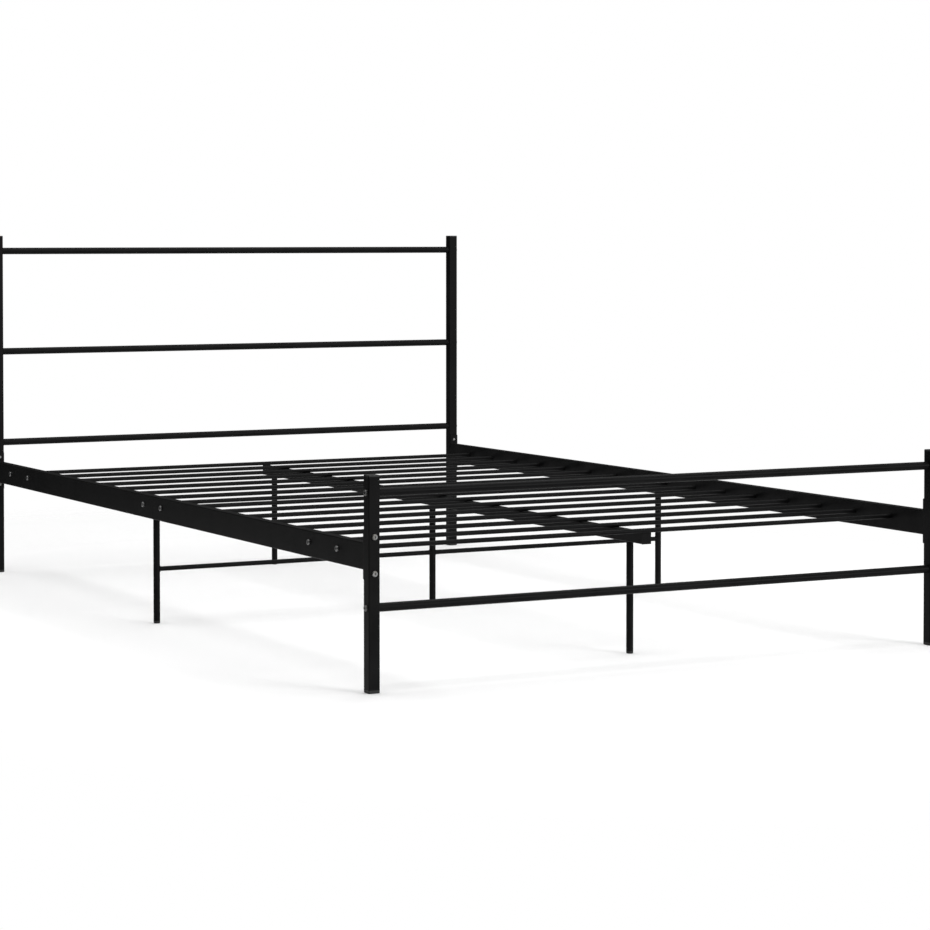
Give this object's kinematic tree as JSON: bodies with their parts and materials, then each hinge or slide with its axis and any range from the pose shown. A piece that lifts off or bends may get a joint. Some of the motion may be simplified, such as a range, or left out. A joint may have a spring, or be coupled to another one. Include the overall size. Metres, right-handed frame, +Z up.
{
  "type": "metal bed frame",
  "caption": "Knock-down steel bed frame with square posts, a round-rail headboard and footboard, side rails, round cross slats, a centre beam and support legs; it carries a mattress.",
  "frame": {"origin": "on the floor under the middle of the bed (centre of the bounding box's bottom face)", "axes": "+X to the right as seen from the foot of the bed, +Y towards the head, +Z up"},
  "size_m": [1.277, 2.077, 0.818],
  "materials": {
    "black_powder_coat": "matte fine-texture powder coat",
    "black_plastic": "moulded, lightly textured",
    "zinc_fasteners": "dulled zinc plate",
    "dark_zinc_screws": "dull dark zinc plated",
    "bare_steel": "machined, lightly oiled"
  },
  "bodies": {
    "root": {"centre_beam_end_plate_foot": "black_powder_coat", "centre_beam_end_plate_head": "black_powder_coat", "centre_beam_foot": "black_powder_coat", "centre_beam_head": "black_powder_coat", "centre_beam_nut_bars": "bare_steel", "centre_beam_splice": "bare_steel", "centre_leg_foot": "black_powder_coat", "centre_leg_head": "black_powder_coat", "foot_post_left": "black_powder_coat", "foot_post_right": "black_powder_coat", "foot_rail_bottom": "black_powder_coat", "foot_rail_top": "black_powder_coat", "head_post_left": "black_powder_coat", "head_post_right": "black_powder_coat", "head_rail_lower": "black_powder_coat", "head_rail_middle": "black_powder_coat", "head_rail_top": "black_powder_coat", "joint_screws": "zinc_fasteners", "leg_feet": "black_plastic", "leg_plugs": "bare_steel", "leg_studs": "bare_steel", "mid_crossbar_left": "black_powder_coat", "mid_crossbar_right": "black_powder_coat", "mid_leg_centre": "black_powder_coat", "mid_leg_left": "black_powder_coat", "mid_leg_right": "black_powder_coat", "panel_bolts": "zinc_fasteners", "post_feet": "black_plastic", "post_top_caps": "black_plastic", "rail_inserts": "bare_steel", "side_rail_bolts": "zinc_fasteners", "side_rail_end_plate_left_foot": "black_powder_coat", "side_rail_end_plate_left_head": "black_powder_coat", "side_rail_end_plate_right_foot": "black_powder_coat", "side_rail_end_plate_right_head": "black_powder_coat", "side_rail_left_foot": "black_powder_coat", "side_rail_left_head": "black_powder_coat", "side_rail_right_foot": "black_powder_coat", "side_rail_right_head": "black_powder_coat", "side_rail_splice_left": "bare_steel", "side_rail_splice_right": "bare_steel", "slat_01": "black_powder_coat", "slat_02": "black_powder_coat", "slat_03": "black_powder_coat", "slat_04": "black_powder_coat", "slat_05": "black_powder_coat", "slat_06": "black_powder_coat", "slat_07": "black_powder_coat", "slat_08": "black_powder_coat", "slat_09": "black_powder_coat", "slat_10": "black_powder_coat", "slat_11": "black_powder_coat", "slat_12": "black_powder_coat", "slat_13": "black_powder_coat", "slat_14": "black_powder_coat", "slat_15": "black_powder_coat", "slat_16": "black_powder_coat", "slat_inserts": "bare_steel", "slat_screws": "dark_zinc_screws"}
  },
  "joints": []
}
